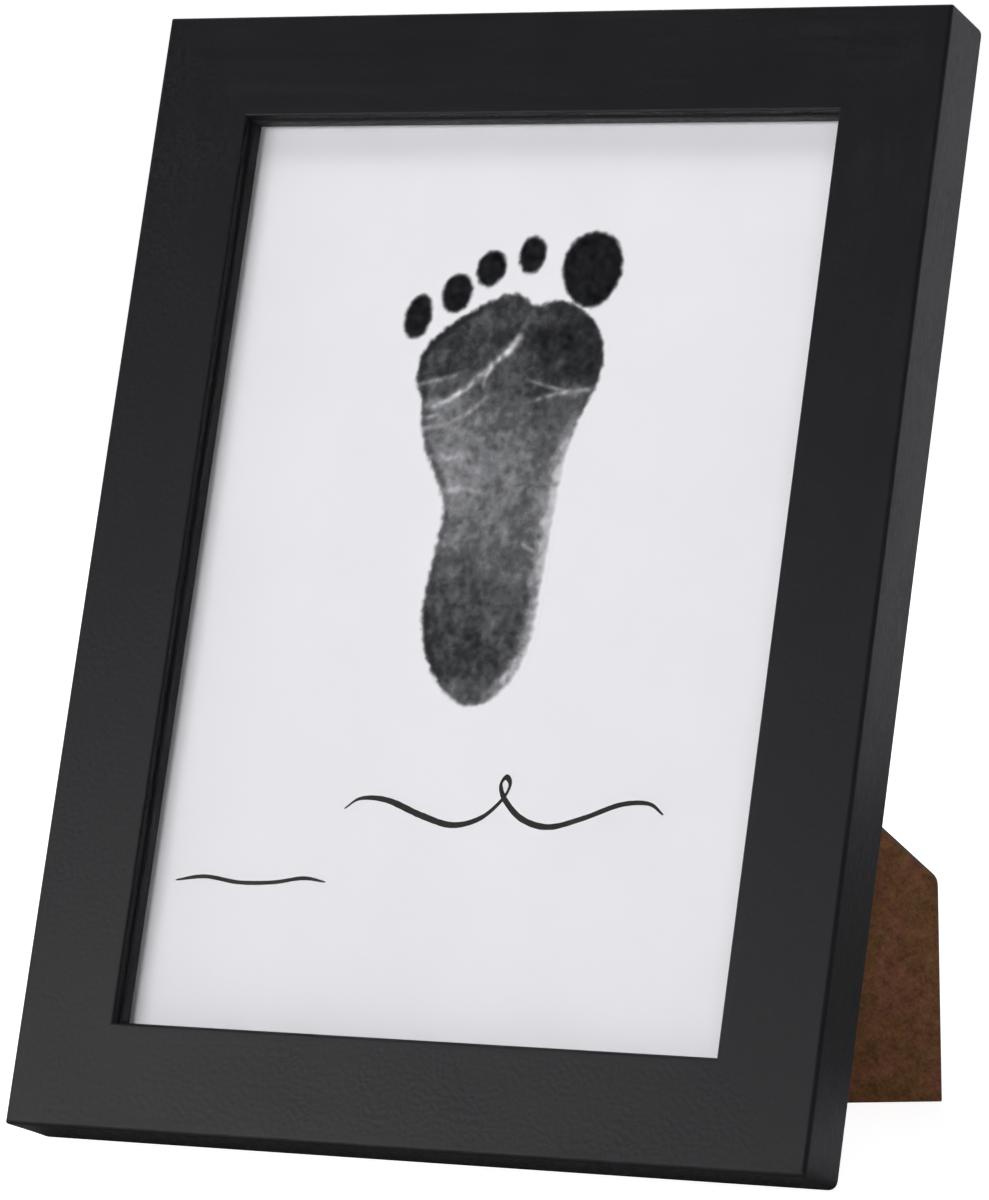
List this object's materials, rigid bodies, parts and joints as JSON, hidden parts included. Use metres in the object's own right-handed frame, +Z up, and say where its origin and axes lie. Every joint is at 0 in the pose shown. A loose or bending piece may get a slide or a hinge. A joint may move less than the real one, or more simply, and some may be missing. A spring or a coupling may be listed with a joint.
{
  "type": "picture frame",
  "caption": "Tabletop picture frame: flat black mitred moulding, glass over a footprint card, hardboard back held by turn buttons, diagonal easel leg on a stop hinge, wall hangers.",
  "frame": {"origin": "on the floor, under the middle of the standing object", "axes": "+X to the right seen from the front, -Y to the front, +Z up; the moulding leans back about 19.6 degrees"},
  "size_m": [0.158, 0.1048, 0.2002],
  "materials": {
    "satin_black": "satin black paint over wood, faint grain",
    "clear_glass": "clear float glass",
    "print_paper": "matt white card with a dark ink print",
    "grey_board": "grey board",
    "brown_hardboard": "brown hardboard, mottled",
    "zinc_steel": "bright zinc plate"
  },
  "bodies": {
    "frame": {"bottom_rail": "satin_black", "top_rail": "satin_black", "left_stile": "satin_black", "right_stile": "satin_black", "bottom_left_v_nail": "zinc_steel", "bottom_right_v_nail": "zinc_steel", "top_left_v_nail": "zinc_steel", "top_right_v_nail": "zinc_steel", "glass_sheet": "clear_glass", "print_card": "print_paper", "backing_card": "grey_board", "back_panel": "brown_hardboard", "hinge_panel_leaf": "zinc_steel", "hinge_pin": "zinc_steel", "hinge_low_rivet": "zinc_steel", "hinge_high_rivet": "zinc_steel", "top_button_screw": "zinc_steel", "bottom_button_screw": "zinc_steel", "left_button_screw": "zinc_steel", "right_button_screw": "zinc_steel", "ring_strap": "zinc_steel", "strap_rivet": "zinc_steel", "saw_hanger": "zinc_steel", "saw_low_tack": "zinc_steel", "saw_high_tack": "zinc_steel"},
    "leg": {"easel_leg": "brown_hardboard", "hinge_leg_leaf": "zinc_steel", "leg_low_rivet": "zinc_steel", "leg_high_rivet": "zinc_steel"},
    "top_button": {"top_turn_button": "zinc_steel"},
    "bottom_button": {"bottom_turn_button": "zinc_steel"},
    "left_button": {"left_turn_button": "zinc_steel"},
    "right_button": {"right_turn_button": "zinc_steel"},
    "ring": {"hanging_ring": "zinc_steel"}
  },
  "joints": [
    {"name": "leg_hinge", "type": "hinge", "parent": "frame", "child": "leg", "pos_m": [-0.0225, 0.00027, 0.10401], "axis": [0.7071, 0.2373, 0.6661], "range_deg": [-36, 0]},
    {"name": "top_button_swivel", "type": "hinge", "parent": "frame", "child": "top_button", "pos_m": [0.036, 0.02798, 0.18894], "axis": [0, 0.942, -0.3355], "range_deg": [-90, 90]},
    {"name": "bottom_button_swivel", "type": "hinge", "parent": "frame", "child": "bottom_button", "pos_m": [-0.036, -0.03698, 0.00656], "axis": [0, 0.942, -0.3355], "range_deg": [-90, 90]},
    {"name": "left_button_swivel", "type": "hinge", "parent": "frame", "child": "left_button", "pos_m": [-0.0718, -0.01994, 0.05442], "axis": [0, 0.942, -0.3355], "range_deg": [-90, 90]},
    {"name": "right_button_swivel", "type": "hinge", "parent": "frame", "child": "right_button", "pos_m": [0.0718, 0.01093, 0.14108], "axis": [0, 0.942, -0.3355], "range_deg": [-90, 90]},
    {"name": "ring_swing", "type": "hinge", "parent": "frame", "child": "ring", "pos_m": [0, 0.02298, 0.1697], "axis": [1, 0, 0], "range_deg": [-10, 158]}
  ]
}
